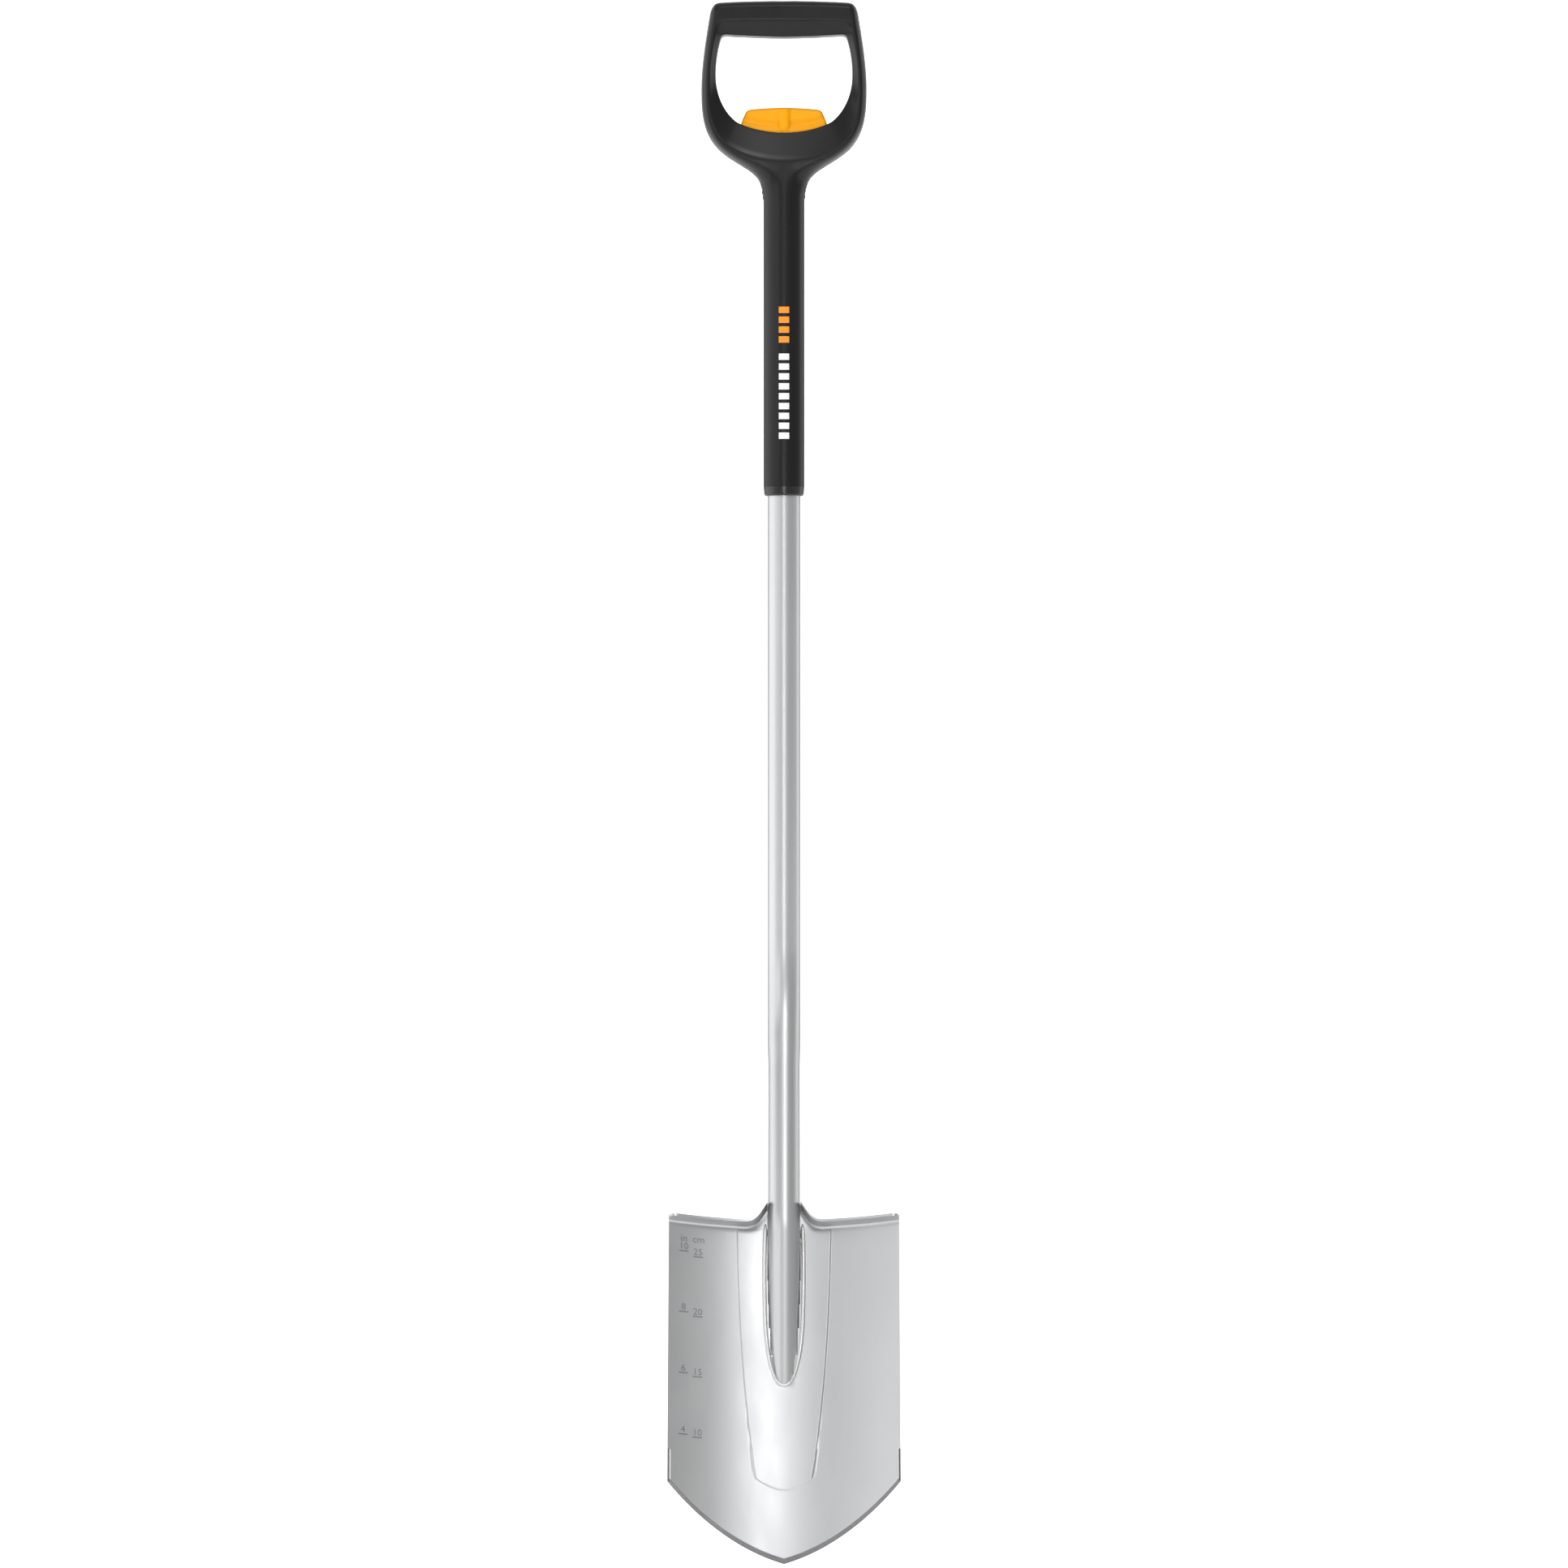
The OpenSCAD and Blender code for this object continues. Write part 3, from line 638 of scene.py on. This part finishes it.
def blade_grids():
    """Stations in x and l, close together at the tube, the panel's edge and the ground edge."""

    def columns(l):
        w = float(panel_w(l))
        half = np.r_[
            [0, 3, 6, 9, 11, 12.2, 12.8, 13.3, 14.2],
            np.linspace(14.2, w - 1.0, 15)[1:],
            w + np.array([-0.6, -0.2, 0.2, 0.6, 1.0]),
            np.linspace(w + 1.0, HALF_W - 3.2, 45)[1:],
            HALF_W + np.array([-2.6, -1.6, -0.6, 0]),
        ]
        return np.r_[-half[::-1][:-1], half]

    rows = []
    for l in np.r_[np.linspace(-4, -30, 10), np.linspace(-34, MID, 42)]:
        x = columns(l)
        rows.append((x, np.full(len(x), l)))
    for t in np.linspace(0, 1, 26)[1:]:
        x = columns(max(MID + t * (-217.7 - MID), PANEL_END))
        a = np.abs(x)
        shoulder = panel_low(PANEL_CORNER) + 1.0 + np.interp(a, [PANEL_CORNER, HALF_W], [0, 22.0]) * 0.9
        low = np.where(a > PANEL_CORNER, shoulder, panel_low(x) + 1.0)
        rows.append((x, MID + t * (low - MID)))
    x, l = rows[-1]
    rows += [(x, l - d) for d in (0.4, 0.8, 1.2, 1.6, 2.0)]
    l = rows[-1][1]
    end = edge_low(x)
    rows += [(x, l + (end + 4.4 - l) * t) for t in np.linspace(0, 1, 22)[1:]]
    rows += [(x, end + d) for d in (3.9, 3.0, 2.0, 1.0, 0.0)]
    return tuple(np.array(part) for part in zip(*rows))


def blade_mesh():
    X, L = blade_grids()
    face = face_y(X, L)
    seat = channel(X, L)
    middle, half = tube_half(X, L)
    in_seat = (seat > face) & (middle - half < face + 0.4)
    face = np.where(in_seat, seat, face) + 1.5 * np.clip((EDGE_W - edge_distance(X, L)) / EDGE_W, 0, 1)
    squeeze = SEAT_R / (SEAT_R + SHEET)
    rear = -sag(X) + SHEET
    rear = np.where(np.abs(X) < SEAT_R + SHEET, np.maximum(rear, channel(X * squeeze, L) + SHEET), rear)

    # above the blade the sheet goes on up, then turns forward into the tread and the ears
    x = X[0]
    a = np.abs(x)
    top = ear_top(x)
    turned = a >= 12.9
    front_rows, rear_rows = [], []
    for t in np.linspace(0, 1, 7)[1:]:
        l = -4 + t * (top - FOLD_R + 4)
        raised = PANEL_H * smooth(0, 1, (panel_w(0) - a) / 1.6 + 0.5) * (1 - t)
        seat = channel(x, l)
        back_seat = np.where(a < SEAT_R + SHEET, channel(x * squeeze, l) + SHEET, -99)
        front_rows.append(np.stack([x, np.where(seat > -sag(x), seat, -sag(x) - raised), l], -1))
        rear_rows.append(np.stack([x, np.maximum(-sag(x) + SHEET, back_seat), l], -1))
    upright = front_rows[-1][:, 1], rear_rows[-1][:, 1]

    def add_fold(lift, *rows):
        """A front and a rear row round the fold; behind the tube the sheet stays upright."""
        for out, y0, (y, z) in zip((front_rows, rear_rows), upright, rows):
            out.append(np.stack([x, np.where(turned, y, y0), np.where(turned, z, top - FOLD_R + lift)], -1))

    def on_fold(ang, r):
        return -sag(x) - FOLD_R + r * math.cos(ang), top - FOLD_R + r * math.sin(ang)

    for s in np.linspace(0, 1, 8)[1:]:
        ang = s * math.pi / 2
        add_fold(0.02 * s, on_fold(ang, FOLD_R), on_fold(ang, FOLD_R + SHEET))
    corner = np.sqrt(np.clip(TREAD_CORNER**2 - (a - HALF_W + TREAD_CORNER) ** 2, 0, None))
    reach = TREAD_D - np.where(a > HALF_W - TREAD_CORNER, TREAD_CORNER - corner, 0)
    for t in np.linspace(0, 1, 8)[1:]:
        y = -sag(x) - FOLD_R - (reach - FOLD_R) * t
        add_fold(0.02 + 0.002 * t, (y, top), (y, top + SHEET))

    front = np.concatenate([front_rows[::-1], np.stack([X, face, L], -1)])
    back = np.concatenate([rear_rows[::-1], np.stack([X, rear, L], -1)])
    return closed_sheet(to_world(front), to_world(back))


v, f = blade_mesh()
blade = mesh_piece("formed_blade", v, f, MAT["blade_steel"], "shaft", ("blade",), "blade_steel", sharp=42)
# front faces along the ground edge take the dark edge material: the bevel is real, and its dark colour is painted
# shade
blade.data.materials.append(MAT["edge_steel"])
for p in blade.data.polygons:
    x, y, l = to_blade(np.array(p.center) / MM)
    if l < -60 and edge_distance(x, l) < EDGE_W and y < -float(sag(x)) + SHEET - 0.05:
        p.material_index = 1

# ribs pressed into the treads, against slipping
parts = []
for side in (-1, 1):
    for k in range(10):
        ang = side * (38 + 4.9 * k) / R_DISH
        r = R_DISH - 2.6 - 8.6 * np.linspace(0, 1, 8)
        line = np.stack([r * math.sin(ang), -R_DISH + r * math.cos(ang), np.full(8, SHEET - 0.05)], -1)
        radius = 0.75 * np.sin(np.linspace(0.35, math.pi - 0.35, 8)) ** 0.5
        parts.append(sweep(to_world(line), radius, 10, up=(0, math.sin(TILT), math.cos(TILT))))
mesh_piece("tread_ribs", *merge(parts), MAT["blade_steel"], "shaft", (), "blade_steel")

# ---------------------------------------------------------------- weld rim round the nose
RIM = curve(
    ((14.9, 2), (15.6, -14), (16.2, -40), (14.9, -82)),
    ((14.9, -82), (13.2, -108), (9.5, -132.3), (0, -132.3)),
    n=30,
)
half = resample(RIM, np.linspace(0, 1, 70))
x, l = np.vstack([half, half[-2::-1] * [-1, 1]]).T
rim_line = np.stack([x, face_y(x, l) - 0.1, l], -1)
# a weld's uneven width, thinner towards the nose, fading out at both ends
width = 1.7 - 0.5 * smooth(0, 1, (-l - 100) / 30) + 0.12 * np.sin(np.arange(len(x)) * 1.7)
fade = np.array([0.3, 0.6, 0.85])
width[:3] *= fade
width[-3:] *= fade[::-1]
v, f = sweep(rim_line, width, 14, squash=width * 0.8, up=(0, 1, 0))
mesh_piece("nose_weld", to_world(v), f, MAT["weld_steel"], "shaft", ("socket_weld",), "weld_steel")


# ---------------------------------------------------------------- depth scale on the blade's left
def on_face(points, lift):
    """Points (x, l) set on the front face, lifted off it."""
    p = np.asarray(points, float)
    return to_world(np.stack([p[..., 0], face_y(p[..., 0], p[..., 1]) - lift, p[..., 1]], -1))


def bar(x0, x1, l, h):
    xs = np.linspace(x0, x1, 10)
    g = np.array([[(x, l + a) for x in xs] for a in (-h / 2, h / 2)])
    return closed_sheet(on_face(g, 0.14), on_face(g, -0.3))


def words(text, x, l, size):
    """Raised figures or letters of a unit, centred at x and standing on l."""
    cu = bpy.data.curves.new("glyph", "FONT")
    cu.body, cu.size, cu.extrude, cu.resolution_u = text, size, 0.22, 3
    cu.align_x = "CENTER"
    ob = bpy.data.objects.new("glyph", cu)
    bpy.context.scene.collection.objects.link(ob)
    me = bpy.data.meshes.new_from_object(ob)
    p = np.array([tuple(q.co) for q in me.vertices])
    faces = [tuple(q.vertices) for q in me.polygons]
    bpy.data.objects.remove(ob, do_unlink=True)
    bpy.data.curves.remove(cu)
    bpy.data.meshes.remove(me)
    none = 0 * p[:, 2]
    raised = to_world(np.stack([none, -p[:, 2] + 0.06, none], -1)) - FOLD
    return on_face(np.stack([p[:, 0] + x, p[:, 1] + l], -1), 0) + raised, faces


INCH, CM = 25.4, 10.0
parts = []
scales = (((-83.5, -76.2), INCH, (4, 6, 8, 10)), ((-72.4, -64.8), CM, (10, 15, 20, 25)))
for (x0, x1), unit, values in scales:
    for value in values:
        l = -LENGTH + value * unit
        parts.append(bar(x0, x1, l, 1.0))
        parts.append(words(str(value), (x0 + x1) / 2, l + 1.6, 7.6))
parts.append(words("in", (-83.5 - 76.2) / 2, -16.5, 8.2))
parts.append(words("cm", (-72.4 - 64.8) / 2 + 0.4, -16.5, 8.2))
mesh_piece("depth_scale", *merge(parts), MAT["scale_grey"], "shaft", (), "blade_steel", sharp=30)


# ---------------------------------------------------------------- plain dashes on the sleeve
def dash(z):
    """A raised printed dash across the front of the sleeve."""
    turn = 8.5 / 2 / NECK_R
    angles = np.linspace(-turn, turn, 8)
    g = np.array([[(NECK_R * math.sin(t), -NECK_R * math.cos(t), z + k) for t in angles] for k in (-2.6, 2.6)])
    return closed_sheet(g * [1.0035, 1.0035, 1], g * [0.995, 0.995, 1])


for name, mat, zs in (
    ("sleeve_dashes_orange", "mark_orange", np.linspace(-222, -246, 4)),
    ("sleeve_dashes_white", "mark_white", np.linspace(-260, -324, 9)),
):
    mesh_piece(name, *merge([dash(z) for z in zs]), MAT[mat], "handle", (), "grip_plastic", sharp=40)


# ---------------------------------------------------------------- stage, light, camera
def area(name, loc, aim, size, power, size_y):
    d = bpy.data.lights.new(name, "AREA")
    d.shape = "RECTANGLE"
    d.size, d.size_y = size, size_y
    d.energy = power
    o = bpy.data.objects.new(name, d)
    bpy.context.scene.collection.objects.link(o)
    o.location = loc
    o.rotation_euler = (Vector(aim) - Vector(loc)).to_track_quat("-Z", "Y").to_euler()


low, high = (np.array(q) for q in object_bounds())
mid_z = (low[2] + high[2]) / 2
floor_z = low[2] - 0.004
paper = shader("paper", (0.93, 0.93, 0.93), 0.9)
b = paper.node_tree.nodes["Principled BSDF"]
b.inputs["Emission Color"].default_value = (1, 1, 1, 1)
b.inputs["Emission Strength"].default_value = 0.75
# the floor turns up far behind the spade, so that it can also be looked at from the rear
FLOOR_FRONT, FLOOR_REAR, FLOOR_SIDE, TURN_R, WALL_H = -1.6, 8.0, 4.5, 1.0, 4.6
prof = [(FLOOR_FRONT, floor_z), (FLOOR_REAR, floor_z)]
for a in np.linspace(0, math.pi / 2, 10)[1:]:
    prof.append((FLOOR_REAR + TURN_R * math.sin(a), floor_z + TURN_R * (1 - math.cos(a))))
prof.append((FLOOR_REAR + TURN_R, floor_z + WALL_H))
me = bpy.data.meshes.new("paper_sweep")
me.from_pydata([(x, y, z) for y, z in prof for x in (-FLOOR_SIDE, FLOOR_SIDE)], [], grid_faces(len(prof), 2))
paper_ob = bpy.data.objects.new("paper_sweep", me)
bpy.context.scene.collection.objects.link(paper_ob)
me.materials.append(paper)
me.polygons.foreach_set("use_smooth", [True] * len(me.polygons))
paper_ob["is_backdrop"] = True

scene = bpy.context.scene
world = bpy.data.worlds.new("studio")
world.use_nodes = True
world.node_tree.nodes["Background"].inputs["Color"].default_value = (1, 1, 1, 1)
world.node_tree.nodes["Background"].inputs["Strength"].default_value = 0.42
scene.world = world
middle = (0, 0, mid_z)
area("front_strip", (0.02, -4.6, -0.85), middle, 0.3, 25, 1.5)
area("left_soft", (-3.0, 0.2, -0.3), middle, 4.0, 50, 2.8)
area("left_fill", (-2.6, -3.0, 0.6), middle, 2.2, 22, 2.2)
area("right_soft", (3.5, 1.6, 0.0), middle, 2.0, 17, 2.4)
area("top_soft", (0, -1.6, 2.4), middle, 2.0, 16, 1.6)
area("high_strip", (0.5, -3.3, 1.9), (0, 0, low[2]), 0.5, 30, 0.9)

cam_d = bpy.data.cameras.new("camera")
cam = bpy.data.objects.new("camera", cam_d)
scene.collection.objects.link(cam)
cam.location = (0, -6.0, -0.6063)
cam.rotation_euler = (math.pi / 2, 0, 0)
cam_d.sensor_width = 36
cam_d.lens = 169.5
cam_d.clip_end = 50
scene.camera = cam
scene.view_settings.view_transform = "Standard"
